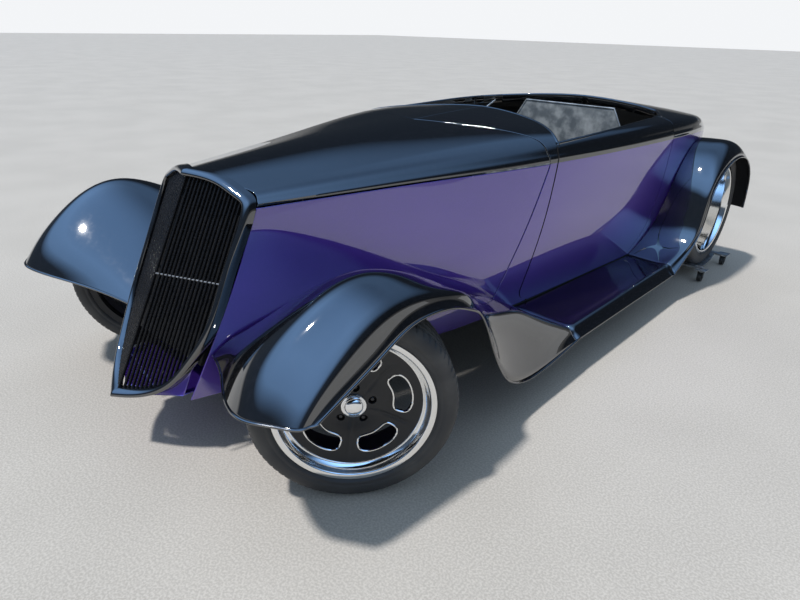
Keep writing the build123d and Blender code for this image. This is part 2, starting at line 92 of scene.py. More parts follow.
# Materials are written as short expressions: a Wire is one output socket, arithmetic on it
# adds Math nodes, and `node` adds any other node with its settings, values and links.
class Wire:
    """One value in a material. 1 - mask, mask * 0.3 and the like add the Math nodes they need."""

    def __init__(self, tree, socket=None):
        self.tree, self.socket = tree, socket

    def node(self, kind, inputs=(), output=0, stops=(), **settings):
        new = self.tree.nodes.new(kind)
        for key, value in settings.items():
            setattr(new, key, value)
        if stops:
            marks = new.color_ramp.elements
            marks.remove(marks[0])
            marks[0].position, marks[0].color = stops[-1]
            for position, colour in stops[:-1]:
                marks.new(position).color = colour
        for key, value in dict(inputs).items():
            if isinstance(value, Wire):
                self.tree.links.new(value.socket, new.inputs[key])
            else:
                new.inputs[key].default_value = value
        return Wire(self.tree, new.outputs[output] if new.outputs else None)

    def maths(self, operation, first, second, **settings):
        return self.node("ShaderNodeMath", {0: first, 1: second}, operation=operation, **settings)

    def __add__(self, other):
        return self.maths("ADD", self, other)

    def __sub__(self, other):
        return self.maths("SUBTRACT", self, other)

    def __rsub__(self, other):
        return self.maths("SUBTRACT", other, self)

    def __mul__(self, other):
        return self.maths("MULTIPLY", self, other)

    __radd__, __rmul__ = __add__, __mul__

    def between(self, low, high):
        """0 below low, 1 above high and smooth between them."""
        return self.node("ShaderNodeMapRange", {"Value": self, "From Min": low, "From Max": high},
                         interpolation_type="SMOOTHSTEP")

    def mix(self, first, second):
        """From the first colour to the second as this value goes from 0 to 1."""
        return self.node("ShaderNodeMix", {"Factor": self, 6: first, 7: second}, output=2,
                         data_type="RGBA")

    def noise(self, scale, detail=3.0, stretch=(1, 1, 1)):
        """Cloudy noise over the object, at so many cells to the metre along each axis."""
        where = self.node("ShaderNodeTexCoord", output=3)
        if stretch != (1, 1, 1):
            where = self.node("ShaderNodeMapping", {"Vector": where, "Scale": stretch})
        return self.node("ShaderNodeTexNoise", {"Vector": where, "Scale": scale, "Detail": detail})

    def cells(self, scale):
        """A tone of its own for each grain of a crystal pattern over the object."""
        where = self.node("ShaderNodeTexCoord", output=3)
        tones = self.node("ShaderNodeTexVoronoi", {"Vector": where, "Scale": scale}, output=1)
        return self.node("ShaderNodeSeparateColor", {"Color": tones})

    def bump(self, height, strength, distance):
        return self.node("ShaderNodeBump", {"Height": height, "Strength": strength,
                                            "Distance": distance})

    def principled(self, colour, roughness, **inputs):
        return self.node("ShaderNodeBsdfPrincipled",
                         {"Base Color": colour, "Roughness": roughness,
                          **{key.replace("_", " "): value for key, value in inputs.items()}})


def material(name, finish):
    """A material whose one shader is what finish returns for an empty Wire."""
    made = bpy.data.materials.new(name)
    made.use_nodes = True
    made.node_tree.nodes.clear()
    start = Wire(made.node_tree)
    start.node("ShaderNodeOutputMaterial", {"Surface": finish(start)})
    return made


# Studio: a pale poured floor under a pale sky. What the paint mirrors is a room that is pale at
# the floor's edge, dark at wall height, blue overhead and dimmer behind the car. One soft lamp
# stands high ahead of the car.
FLOOR_HALF = 60
SUN_FROM, SUN_SPREAD, SUN_POWER = (-0.16, -0.42, 1.0), 4, 2.7


def floor_finish(w):
    speckle = w.noise(150, 4.0).between(0.36, 0.66)
    cloud = w.noise(1.3).between(0.3, 0.7)
    colour = (speckle * 0.75 + cloud * 0.25).mix((0.475, 0.45, 0.42, 1), (0.65, 0.62, 0.585, 1))
    return w.principled(colour, 0.8)


floor_mesh = bpy.data.meshes.new("studio_floor")
corners = [(FLOOR_HALF * x, FLOOR_HALF * y, 0) for x, y in ((-1, -1), (1, -1), (1, 1), (-1, 1))]
floor_mesh.from_pydata(corners, [], [(0, 1, 2, 3)])
floor_mesh.materials.append(material("pale_concrete", floor_finish))
studio_floor = add("studio_floor", floor_mesh)

room = bpy.data.worlds.new("room")
room.use_nodes = True
room.node_tree.nodes.clear()
w = Wire(room.node_tree)
aim = w.node("ShaderNodeTexCoord", output=0)
height = w.node("ShaderNodeSeparateXYZ", {"Vector": aim}, output=2)
behind = w.node("ShaderNodeSeparateXYZ", {"Vector": aim}, output=1).between(-0.15, 0.5)
sky = w.node("ShaderNodeValToRGB", {"Fac": height}, stops=[
    (0.00, (0.34, 0.345, 0.35, 1)), (0.03, (0.26, 0.265, 0.27, 1)),
    (0.08, (0.03, 0.04, 0.055, 1)), (0.42, (0.03, 0.045, 0.07, 1)),
    (0.60, (0.24, 0.45, 0.83, 1)), (0.80, (0.29, 0.54, 1.0, 1)), (1.00, (0.22, 0.42, 0.80, 1))])
camera_ray, glossy_ray, clear_ray = (w.node("ShaderNodeLightPath", output=k) for k in (0, 3, 6))
any_ray = w.maths("ADD", camera_ray + glossy_ray, clear_ray, use_clamp=True)
plain = w.node("ShaderNodeBackground", {"Color": (0.66, 0.83, 1.0, 1), "Strength": 0.45})
walls = glossy_ray.mix((0.90, 0.915, 0.935, 1), sky)
gain = glossy_ray * (1.0 - behind * 1.35) + 1.0
shown = w.node("ShaderNodeBackground", {"Color": walls, "Strength": gain})
both = w.node("ShaderNodeMixShader", {0: any_ray, 1: plain, 2: shown})
w.node("ShaderNodeOutputWorld", {"Surface": both})
bpy.context.scene.world = room

lamp = bpy.data.lights.new("soft_lamp", "SUN")
lamp.angle, lamp.energy, lamp.color = np.radians(SUN_SPREAD), SUN_POWER, (1.0, 0.965, 0.92)
holder = add("soft_lamp", lamp)
back = unit(SUN_FROM)
side = unit(np.cross((0, 0, 1), back))
holder.matrix_world = Matrix(np.column_stack([side, np.cross(back, side), back]).tolist()).to_4x4()


# Paint. The black is a deep clear-coated enamel with a trace of dust in its gloss, and the
# purple is the same coat over a metallic base whose flakes glint. Inside faces are primer.
def black_paint(w):
    dust = w.noise(45, 6.0).between(0.45, 0.75)
    colour = dust.mix((0.003, 0.003, 0.004, 1), (0.006, 0.006, 0.008, 1))
    return w.principled(colour, dust * 0.08 + 0.12, Specular_IOR_Level=0.05,
                        Coat_Weight=1.0, Coat_Roughness=0.012, Coat_IOR=2.3,
                        Normal=w.bump(w.noise(330, 1.0), 0.010, 0.001))


def purple_paint(w):
    glint = w.cells(1500.0)
    flakes = glint * 0.7 + w.noise(2.5) * 0.3
    colour = flakes.mix((0.048, 0.017, 0.27, 1), (0.105, 0.040, 0.50, 1))
    return w.principled(colour, glint * 0.12 + 0.30, Metallic=0.5,
                        Coat_Weight=1.0, Coat_Roughness=0.012, Coat_IOR=2.2,
                        Normal=w.bump(glint, 0.10, 0.0004))


def primer(w):
    cloud = w.noise(14, 5.0)
    colour = cloud.mix((0.012, 0.012, 0.013, 1), (0.028, 0.028, 0.030, 1))
    return w.principled(colour, cloud * 0.2 + 0.5, Normal=w.bump(w.noise(420, 2.0), 0.06, 0.0006))


gloss_black = material("gloss_black_paint", black_paint)
purple = material("purple_metallic_paint", purple_paint)
inside_black = material("inside_primer", primer)
black_skin, purple_skin = [gloss_black, inside_black], [purple, inside_black]

# Body skin. Each station holds one cross-section of the pressed steel body, leaning with the
# grille ahead and upright at the doors; splines run through the stations and round each one.
STATIONS = np.array([
    # y at the belt, lean, half width at the belt and the sill, belt height, shoulder rise and
    # inset, height on the centre line, sill height
    (-110, 0.475, 220, 208, 807, 45, 48, 880, 238),
    (640, 0.455, 420, 376, 822, 82, 92, 940, 205),
    (1245, 0.440, 585, 505, 832, 108, 112, 972, 200),
    (1760, 0.100, 650, 560, 832, 93, 60, 985, 200),
    (2290, 0.000, 684, 594, 832, 93, 60, 985, 200),
    (2850, 0.000, 640, 562, 812, 88, 92, 938, 230),
    (3220, 0.000, 520, 470, 720, 75, 90, 800, 290),
    (3440, 0.000, 400, 370, 560, 40, 50, 610, 360)], float)
Y, LEAN, HALF, SILL, BELT, RISE, INSET, TOP, BASE = STATIONS.T
BEAD = 4.0                       # the moulding that stands out along the belt


def spline(knots, at):
    """Weights of a natural cubic spline: times the values at the knots they give the curve at
    each place. Its bends at the knots solve the usual row of three-term equations."""
    knots, at = np.asarray(knots, float), np.clip(at, knots[0], knots[-1])
    n, step = len(knots), np.diff(knots)
    left, pull = np.eye(n), np.zeros((n, n))
    for i in range(1, n - 1):
        left[i, i - 1:i + 2] = step[i - 1], 2 * (step[i - 1] + step[i]), step[i]
        pull[i, i - 1:i + 2] = 6 / step[i - 1], -6 / step[i - 1] - 6 / step[i], 6 / step[i]
    bend = np.linalg.solve(left, pull)
    k = np.clip(np.searchsorted(knots, at, side="right") - 1, 0, n - 2)
    a = ((knots[k + 1] - at) / step[k])[..., None]
    b, eye = 1 - a, np.eye(n)
    return a * eye[k] + b * eye[k + 1] \
        + ((a ** 3 - a) * bend[k] + (b ** 3 - b) * bend[k + 1]) * step[k][..., None] ** 2 / 6


def sections(pairs):
    """Points (x, z) across every station become x, y, z with the stations' lean."""
    x, z = np.stack([p[0] for p in pairs], 1), np.stack([p[1] for p in pairs], 1)
    return np.stack([x, Y[:, None] + LEAN[:, None] * (z - BELT[:, None]), z], -1)


SIDE_AT, TOP_AT = (0, 0.5, 1), (0, 0.125, 0.26, 0.63, 1, 1.37, 1.74, 1.875, 2)
swell = (HALF + 0.35 * (SILL - HALF) + 9, BASE + 0.55 * (BELT - BASE))
side_points = sections([(SILL, BASE), swell, (HALF, BELT)])
over = [(HALF, BELT), (HALF - 0.26 * INSET, BELT + 0.70 * RISE), (HALF - INSET, BELT + RISE),
        ((HALF - INSET) / 2, (BELT + RISE) * 0.30 + TOP * 0.70), (0 * TOP, TOP)]
top_points = sections(over + [(-x, z) for x, z in over[-2::-1]])


def side_skin(t, s):
    """Below the belt: t runs aft along the stations and s from the sill (0) to the belt (1)."""
    return np.einsum("...i,...j,ijk->...k", spline(Y, t), spline(SIDE_AT, s), side_points)


def top_skin(t, s):
    """Above the belt: s runs from the left belt (0) over the centre (1) to the right belt (2),
    with a small rounded bead just above each belt."""
    p = np.einsum("...i,...j,ijk->...k", spline(Y, t), spline(TOP_AT, s), top_points)
    p[..., 0] += BEAD * (np.exp(-((s - 0.030) / 0.016) ** 2) - np.exp(-((s - 1.970) / 0.016) ** 2))
    return p


def crossing(skin, where, fixed, low, high, along):
    """The t (or s) at which a skin crosses the surface where(x, y, z) = 0, by halving."""
    low, high = np.full(fixed.shape, float(low)), np.full(fixed.shape, float(high))
    for _ in range(34):
        middle = (low + high) / 2
        p = skin(middle, fixed) if along == "t" else skin(fixed, middle)
        before = where(*np.moveaxis(p, -1, 0)) < 0
        low, high = np.where(before, middle, low), np.where(before, high, middle)
    return (low + high) / 2


def patch(skin, front, rear, foot, head, rows, columns):
    """A grid on a skin between two seams along it and two across. A seam is a function that is
    zero on it and grows aft or upwards, or a plain t or s. The four edges are found in turn."""
    u, v = np.linspace(0, 1, rows)[:, None], np.linspace(0, 1, columns)[None, :]
    t = np.full((rows, columns), 0.0)
    s = t + v * (head if np.isscalar(head) else 1.0)
    for _ in range(4):
        t0 = crossing(skin, front, s[0], Y[0], Y[-1], "t") if callable(front) else front + 0 * s[0]
        t1 = crossing(skin, rear, s[-1], Y[0], Y[-1], "t") if callable(rear) else rear + 0 * s[0]
        t = t0 + (t1 - t0) * u
        s0 = crossing(skin, foot, t[:, 0], 0, 1, "s") if callable(foot) else foot + 0 * t[:, 0]
        s1 = crossing(skin, head, t[:, -1], 0, 1, "s") if callable(head) else head + 0 * t[:, 0]
        s = s0[:, None] + (s1 - s0)[:, None] * v
    return place(skin(t, s))


def sheet(points, around=False, along=False, paint=0):
    """A grid of points as vertices, quads and each quad's paint. `around` closes its columns
    and `along` its rows; rows aft by columns up face outwards on the car's left."""
    rows, columns = points.shape[:2]
    index = np.arange(rows * columns).reshape(rows, columns)
    index = np.hstack([index, index[:, :1]]) if around else index
    index = np.vstack([index, index[:1]]) if along else index
    quads = np.stack([index[:-1, :-1], index[1:, :-1], index[1:, 1:], index[:-1, 1:]], -1)
    paints = np.broadcast_to(paint, quads.shape[:2])
    return points.reshape(-1, 3), quads.reshape(-1, 4), paints.ravel()


def build(name, sheets, paints, weld=False, sharp=35):
    """One mesh object from sheets. Welding merges points that meet, and closes poles."""
    starts = np.cumsum([0] + [len(points) for points, _, _ in sheets])
    points = np.concatenate([points for points, _, _ in sheets])
    quads = np.concatenate([quads + start for (_, quads, _), start in zip(sheets, starts)])
    mesh = bpy.data.meshes.new(name)
    mesh.vertices.add(len(points))
    mesh.vertices.foreach_set("co", points.astype(np.float32).ravel())
    mesh.loops.add(quads.size)
    mesh.loops.foreach_set("vertex_index", quads.astype(np.int32).ravel())
    mesh.polygons.add(len(quads))
    mesh.polygons.foreach_set("loop_start", np.arange(0, quads.size, 4, dtype=np.int32))
    paint = np.concatenate([paint for _, _, paint in sheets])
    mesh.polygons.foreach_set("material_index", paint.astype(np.int32))
    mesh.update(calc_edges=True)
    if weld:
        work = bmesh.new()
        work.from_mesh(mesh)
        bmesh.ops.remove_doubles(work, verts=work.verts, dist=2e-6)
        work.to_mesh(mesh)
        work.free()
    mesh.polygons.foreach_set("use_smooth", np.ones(len(mesh.polygons), bool))
    mesh.set_sharp_from_angle(angle=np.radians(sharp))
    for finish in paints:
        mesh.materials.append(finish)
    return add(name, mesh)


def mirrored(points):
    """The same grid on the car's right side, still facing outwards."""
    return points[::-1] * (-1, 1, 1)


SIDES = (("left", np.copy), ("right", mirrored))
PANEL, FENDER_SHEET, DOOR_DEPTH = 6, 3, 30    # how thick each skin is


def thicken(piece, thickness, edge=2.4, inner=0, rim=0):
    """Gives a skin its sheet thickness inwards, and its cut edges a small radius."""
    wall = piece.modifiers.new("wall", "SOLIDIFY")
    wall.thickness, wall.offset, wall.use_even_offset = thickness / 1000, -1, True
    wall.material_offset, wall.material_offset_rim = inner, rim
    if edge:
        roll = piece.modifiers.new("edge", "BEVEL")
        roll.width, roll.segments, roll.limit_method = edge / 1000, 2, "ANGLE"
        roll.angle_limit, roll.harden_normals = np.radians(40), True
    return piece


# The seams between panels, each a surface that is negative ahead of the cut. The panels stop
# half a gap short of it.
GAP = 2.5                        # half of each panel gap


def nose_y(x, z):
    """Where the V of the grille and the hood's front edge meet, at a height and half width: it
    is raked back with height, and the V grows a little blunter upwards."""
    return 46 + 0.475 * (z - 811) + (0.46 - 0.00011 * (z - 205)) * (np.abs(x) - 262)


def nose_seam(x, y, z):
    return y - nose_y(x, z) - GAP


def hood_seam(x, y, z, gap):
    """Curved in plan over the hood's top, kinked on the centre line, then down the side."""
    across = spline((0, 120, 300, 450, 545, 600), np.abs(x)) @ (1058, 1098, 1160, 1205, 1232, 1245)
    return y - np.where(z > 832, across, 1245 + 0.44 * (z - 832)) - gap


def door_front(x, y, z, gap):
    """Leans back with height, with a rounded lower corner."""
    corner = 90 * (1 - np.sqrt(1 - np.clip((288 - z) / 70, 0, 1) ** 2))
    return y - (1290 + 0.187 * (z - 832) + corner) - gap


def door_rear(x, y, z, gap):
    """Upright, with a long rounded lower corner that clears the fender."""
    corner = 180 * (1 - np.sqrt(1 - np.clip((428 - z) / 210, 0, 1) ** 2))
    return y - (2290 - corner) - gap


hood_rear, cowl_front = partial(hood_seam, gap=-GAP), partial(hood_seam, gap=GAP)
door_ahead, door_start = partial(door_front, gap=-GAP), partial(door_front, gap=GAP)
door_end, quarter_start = partial(door_rear, gap=-GAP), partial(door_rear, gap=GAP)


def cockpit_front(x, y, z):
    """The cowl's rear edge in plan, down to the top of the door's front seam."""
    across = (0, 200, 400, 500, 545, 575, 660)
    return y - spline(across, np.abs(x)) @ (1560, 1530, 1442, 1366, 1328, 1309, 1300)


def cockpit_side(x, y, z):
    """The rim beside and behind the cockpit, in plan: straight along the doors, then round."""
    along = (1300, 1380, 1500, 1650, 1800, 2200, 2360, 2480, 2555, 2590, 2600)
    return np.interp(y, along, (562, 573, 586, 594, 596, 594, 564, 500, 350, 180, 0)) - x


# Hood: a top of one pressing, hinged at the cowl, and a side each that stays on the car.
# The purple starts below the belt bead.
hood_grid = patch(top_skin, nose_seam, hood_rear, 0.006, 1.994, 90, 150)
piece = thicken(build("hood_top_skin", [sheet(hood_grid)], black_skin), PANEL, inner=1)
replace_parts(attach(piece, "hood"), "hood_top")

hood_side = patch(side_skin, nose_seam, hood_rear, 0.0, 0.997, 80, 40)
for side, turned in SIDES:
    piece = build("hood_side_skin_" + side, [sheet(turned(hood_side))], purple_skin)
    thicken(piece, PANEL, inner=1)
    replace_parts(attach(piece, "car"), "hood_side_" + side)


def two_tone(low, high):
    """A panel that crosses the belt, from its lower and upper grids: each side's points and
    paints, purple below and black above."""
    points = np.concatenate([low, high[:, 1:]], 1)
    paint = (np.arange(points.shape[1] - 1) >= low.shape[1] - 1).astype(int)[None]
    return [(side, sheet(turned(points), paint=paint)) for side, turned in SIDES]


# Cowl: the fixed band between the hood and the doors, up to the cockpit's front edge. Its two
# halves meet on the centre line.
COWL_CORNER = 572                # half the width at which its rear edge meets the door's seam


def cowl_edge(x, y, z):
    return np.where(np.abs(x) > COWL_CORNER, door_ahead(x, y, z), cockpit_front(x, y, z))


two_paints = [purple, gloss_black, inside_black, inside_black]
cowl_high = patch(top_skin, cowl_front, cowl_edge, 0.0, 1.0, 16, 110)
for side, grid in two_tone(patch(side_skin, cowl_front, door_ahead, 0.0, 1.0, 16, 40), cowl_high):
    piece = thicken(build("cowl_skin_" + side, [grid], two_paints), PANEL, inner=2)
    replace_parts(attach(piece, "car"), "cowl")


# Doors: a purple skin with a black top under the elbow. Each has a plain inside that follows
# the skin, and closed edges.
door_high = patch(top_skin, door_start, door_end, 0.0, cockpit_side, 90, 18)
for side, grid in two_tone(patch(side_skin, door_start, door_end, 0.012, 1.0, 90, 44), door_high):
    piece = thicken(build("door_skin_" + side, [grid], two_paints), DOOR_DEPTH, inner=2, rim=1)
    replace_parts(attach(piece, "door_" + side[0]), "door_" + side)

# Tub: the fixed quarters and tail from the doors back. The top runs in behind the cockpit to
# the deck lid's opening, and an arch is cut in each side for the rear wheel.
LID_HALF, LID_FRONT, LID_REAR, LID_GAP, TAIL_Y = 330, 2760.0, 3380.0, 5.0, Y[-1]
REAR_Y, REAR_Z, ARCH, ARCH_BAND = 2845, 380, 368, 11


def lid_side(x, y, z):
    """The lid's opening beside it, and the cockpit ahead of it."""
    return np.where(y < LID_FRONT, cockpit_side(x, y, z), LID_HALF - x)


def with_arch(name, points):
    """A side grid with the wheel's arch cut out: points near the circle move onto it, and the
    faces inside it go."""
    centre = place((0, REAR_Y, REAR_Z))[1:]
    away = points[..., 1:] - centre
    radius = np.linalg.norm(away, axis=-1)
    near = np.abs(radius - ARCH / 1000) < ARCH_BAND / 1000
    points = points.copy()
    points[near, 1:] = centre + away[near] / radius[near, None] * ARCH / 1000
    inside = ((radius < ARCH / 1000 + 1e-4) | near).ravel()
    vertices, quads, paint = sheet(points)
    kept = ~inside[quads].all(1)
    used, quads = np.unique(quads[kept], return_inverse=True)
    return build(name, [(vertices[used], quads.reshape(-1, 4), paint[kept])], purple_skin)


quarter_low = patch(side_skin, quarter_start, TAIL_Y, 0.0, 1.0, 130, 44)
quarter_tops = {"shoulder": patch(top_skin, quarter_start, LID_FRONT, 0.0, cockpit_side, 110, 50),
                "deck_side": patch(top_skin, LID_FRONT, LID_REAR, 0.0, lid_side, 70, 40),
                "tail_top": patch(top_skin, LID_REAR, TAIL_Y, 0.0, 1.0, 12, 60)}
for side, turned in SIDES:
    quarter = thicken(with_arch("quarter_skin_" + side, turned(quarter_low)), PANEL, inner=1)
    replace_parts(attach(quarter, "car"), "rear_body")
    for name, grid in quarter_tops.items():
        piece = build(name + "_skin_" + side, [sheet(turned(grid))], black_skin)
        thicken(piece, PANEL, inner=1)
        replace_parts(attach(piece, "car"), "rear_body")


# Deck lid: one pressing over the opening, hinged at its front edge, with a running gap on
# every side.
def lid_edge(x, y, z):
    return LID_HALF - LID_GAP - x


lid = patch(top_skin, LID_FRONT + LID_GAP, LID_REAR - LID_GAP, lid_edge, 1.0, 60, 40)
lid_whole = np.concatenate([lid, (lid * (-1, 1, 1))[:, -2::-1]], 1)
piece = thicken(build("deck_lid_skin", [sheet(lid_whole)], black_skin), PANEL, inner=1)
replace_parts(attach(piece, "lid"), "deck_lid")

# Tail pan: a flat panel that closes the tub's last section, in rings round its middle.
s = np.linspace(0, 1, 40)
tail = np.concatenate([side_skin(TAIL_Y + 0 * s, s), top_skin(TAIL_Y + 0 * s, s)[1:]])
ring = np.concatenate([tail, (tail * (-1, 1, 1))[-2:0:-1]])
middle = np.array([0, TAIL_Y, ring[:, 2].mean()])
pan = middle + (ring[None] - middle) * np.linspace(1, 0, 16)[:, None, None]
piece = build("tail_pan", [sheet(place(pan), around=True)], purple_skin, weld=True)
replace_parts(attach(thicken(piece, 4, edge=0, inner=1), "car"), "rear_body")

# Cockpit rim: the skin's edge is rolled over a wire and turned down inside the cockpit, along
# the cowl, each door and round the back.
FLANGE, RIM_ROLL = 46, 8


def flange(points, depth):
    """A wall hung from an edge: it curls a little inwards and then drops by the depth."""
    drop = np.array([0, 4, 9, depth]) / 1000
    inward = np.array([0, 3.5, 5, 5]) / 1000
    run = np.gradient(points, axis=0)
    across = unit(np.cross(run, (0, 0, 1.0)))
    curl, fall = across[:, None] * inward[None, :, None], drop[None, :, None] * (0, 0, 1)
    return points[:, None] - curl - fall


def tube(path, radius, sides=10, closed=False):
    """A round bead along a path: at each place a circle square to the path."""
    ends = np.concatenate([path[-1:], path, path[:1]]) if closed else path
    run = np.gradient(ends, axis=0)
    run = unit(run[1:-1] if closed else run)
    first = unit(np.cross(run, (0.3, 0.2, 1.0)))
    second = np.cross(first, run)
    angle = np.linspace(0, 2 * np.pi, sides, endpoint=False)[None, :, None]
    spoke = np.cos(angle) * first[:, None] + np.sin(angle) * second[:, None]
    return path[:, None] + radius * spoke


def capped(rod):
    """Closes both ends of a rod's grid with a point, to be welded."""
    ends = [np.broadcast_to(rod[k].mean(0), rod[:1].shape) for k in (0, -1)]
    return np.concatenate([ends[0], rod, ends[1]])


tub_edge = quarter_tops["shoulder"][:, -1]
tub_edge = tub_edge[:np.argmax(tub_edge[:, 0] < 0.002) + 1]
cowl_rim = cowl_high[-1, cowl_high[-1, :, 0] < (COWL_CORNER - 2) / 1000][::-1]
for side, turned in SIDES:
    for part, edge, body in (("cowl", cowl_rim, "car"),
                             ("door", door_high[:, -1], "door_" + side[0]),
                             ("tub", tub_edge, "car")):
        wall = build(part + "_rim_" + side, [sheet(turned(flange(edge, FLANGE)))], black_skin)
        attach(thicken(wall, 2, edge=0, inner=1), body)
        # the wire's middle lies 0.7 of its radius below the edge
        bead = capped(tube(edge - (0, 0, RIM_ROLL / 1400), RIM_ROLL / 1000, 12))
        bead = sheet(turned(bead), around=True)
        roll = build(part + "_roll_" + side, [bead], [gloss_black], weld=True)
        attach(roll, body)

# Grille shell: a rounded frame of one width, raked and swept back each side of its centre.
NOSE_HALF, NOSE_PEAK, NOSE_FOOT, SHELL_WIDE = 262, 903, 205, 26


def nose_outline(a):
    """Half of the nose from the front: a runs from the peak (0) over the shoulder and down the
    side to the foot (1)."""
    h, peak, foot = NOSE_HALF, NOSE_PEAK, NOSE_FOOT
    corners = np.array([(0, peak), (0.52 * h, peak - 17), (h - 50, peak - 47), (h - 14, peak - 68),
                        (h, peak - 112), (h - 3, 640), (h - 10, 430), (h - 42, 338),
                        (h - 75, foot + 72), (h - 150, foot + 22), (0, foot)], float)
    run = np.concatenate([[0], np.cumsum(np.linalg.norm(np.diff(corners, axis=0), axis=1))])
    return spline(run / run[-1], a) @ corners


a = np.linspace(0, 1, 150)
outline = nose_outline(a)
slope = np.gradient(outline, axis=0)
inward = unit(np.stack([slope[:, 1], -slope[:, 0]], 1))
inward[0], inward[-1] = (0, -1), (0, 1)
# across the frame's face: how far in from the outline, and how far ahead of the seam
face = np.array([(0, -GAP), (0, 8), (0.5, 22), (4, 31), (10, 34), (16, 33), (21, 27), (24, 18),
                 (25.5, 8), (SHELL_WIDE, -GAP)])
face = spline(np.linspace(0, 1, len(face)), np.linspace(0, 1, 34)) @ face
xz = outline[:, None] + inward[:, None] * face[None, :, :1]
ring = np.stack([xz[..., 0], nose_y(xz[..., 0], xz[..., 1]) - face[None, :, 1], xz[..., 1]], -1)
whole = np.concatenate([ring, (ring * (-1, 1, 1))[-2:0:-1]])
piece = build("grille_frame", [sheet(place(whole)[::-1], along=True)], black_skin)
thicken(piece, 3, edge=0.8, inner=1)
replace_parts(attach(piece, "car"), "grille_shell")

# Grille bars: rounded rods set in the sweep of each half and cut to the frame's outline, with
# one tie across them at half height.
BARS, BAR_START, BAR_PITCH = 16, 4, 14.0
BAR_WIDE, BAR_TAIL, BAR_BACK = 6.0, 6, 12
TIE_Z, TIE_HALF = 583, 231


def bar_finish(w):
    wear = w.noise(60, 4.0)
    colour = wear.mix((0.004, 0.004, 0.005, 1), (0.010, 0.010, 0.012, 1))
    return w.principled(colour, wear * 0.15 + 0.20, Specular_IOR_Level=0.4)


bar_black = material("grille_bar_black", bar_finish)
inner_edge = outline + inward * (SHELL_WIDE - 1)
high, low = inner_edge[a < 0.5], inner_edge[a >= 0.5][::-1]
turn = np.linspace(0, 2 * np.pi, 14, endpoint=False)
section = np.stack([np.cos(turn) * BAR_WIDE / 2, np.sin(turn) * BAR_WIDE / 2], 1)
section[section[:, 1] > 0, 1] += BAR_TAIL
beside = [BAR_START + k * BAR_PITCH for k in range(1, BARS + 1)]
rods = []
for x in [0] + [sign * step for step in beside for sign in (1, -1)]:
    top_z, foot_z = (np.interp(abs(x), end[:, 0], end[:, 1]) for end in (high, low))
    z = np.linspace(top_z, foot_z, 24)[:, None]
    across = x + section[None, :, 0] + 0 * z
    rod = np.stack([across, nose_y(x, z) - BAR_BACK + section[None, :, 1], z + 0 * across], -1)
    rods.append(sheet(capped(place(rod)), around=True))
piece = build("grille_rods", rods, [bar_black], weld=True)
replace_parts(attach(piece, "car"), "grille_bars")

tie_x = np.linspace(-TIE_HALF, TIE_HALF, 61)[:, None]
wide, thick = section[None, :, 0], section[None, :, 1]
tie_y = nose_y(tie_x, TIE_Z) - BAR_BACK + 1 + thick * 0.7
tie = np.stack([tie_x + 0 * wide, tie_y, TIE_Z + wide * 0.9 + 0 * tie_x], -1)


def wire_finish(w):
    wear = w.noise(90, 4.0)
    colour = wear.mix((0.16, 0.165, 0.17, 1), (0.34, 0.35, 0.36, 1))
    return w.principled(colour, wear * 0.2 + 0.25, Metallic=0.6)


tie_wire = material("tie_wire", wire_finish)
piece = build("grille_tie", [sheet(capped(place(tie)), around=True)], [tie_wire], weld=True)
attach(piece, "car")

# Nose pan: the painted apron under the nose. A cheek each side fills in from the shell's
# rounded foot to the hood side, and a floor runs back from the foot below the radiator.
PAN_FLOOR, PAN_REAR, PAN_HALF, PAN_SAG = 238, 60, 207, 9
CHEEK_TOP, CHEEK_HALF = 345, 209.0
shell_foot = outline[(outline[:, 1] < CHEEK_TOP) & (outline[:, 0] > 1)]
level = np.clip(shell_foot[:, 1], PAN_FLOOR, CHEEK_TOP)
out_x = np.full(level.shape, CHEEK_HALF)
foot_line = np.stack([shell_foot[:, 0], nose_y(*shell_foot.T) + 4, shell_foot[:, 1]], -1)
side_line = np.stack([out_x, nose_y(out_x, level) + 6, level], -1)
v = np.linspace(0, 1, 12)[None, :, None]
cheek = foot_line[:, None] * (1 - v) + side_line[:, None] * v
x, u = np.linspace(-PAN_HALF, PAN_HALF, 60)[None], np.linspace(0, 1, 24)[:, None]
fore = nose_y(x, PAN_FLOOR) + 6
sag = PAN_SAG * (1 - (x / PAN_HALF) ** 2)
pan_floor = np.stack([x + 0 * u, fore + (PAN_REAR - fore) * u, PAN_FLOOR - sag + 0 * u], -1)
sheets = [sheet(turned(place(cheek))) for _, turned in SIDES] + [sheet(place(pan_floor))]
piece = build("nose_pan", sheets, purple_skin)
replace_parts(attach(thicken(piece, 2, edge=0), "car"), "valance")

# Fenders: thin pressings whose sections run from the body up over a crown, round a shoulder
# and down to a rolled lip. Each is cut where it meets the body.
FRONT_FENDER = np.array([
    ((245, -150, 366), (722, -356, 457), (860, -280, 457), (873, -242, 457)),
    ((258, -80, 410), (713, -268, 570), (856, -200, 530), (875, -165, 493)),
    ((283, 30, 441), (730, -100, 688), (854, -50, 618), (875, -25, 556)),
    ((310, 150, 477), (730, 85, 723), (854, 95, 662), (875, 100, 608)),
    ((342, 290, 510), (730, 275, 656), (852, 262, 640), (875, 252, 603)),
    ((382, 430, 511), (717, 440, 568), (845, 390, 584), (874, 364, 562)),
    ((425, 590, 468), (728, 590, 476), (826, 495, 483), (873, 453, 468)),
    ((455, 723, 400), (690, 730, 400), (806, 711, 384), (870, 623, 202)),
    ((470, 900, 333), (640, 900, 338), (810, 900, 302), (866, 900, 142)),
    ((495, 1150, 200), (650, 1150, 203), (822, 1150, 200), (858, 1150, 160))], float)
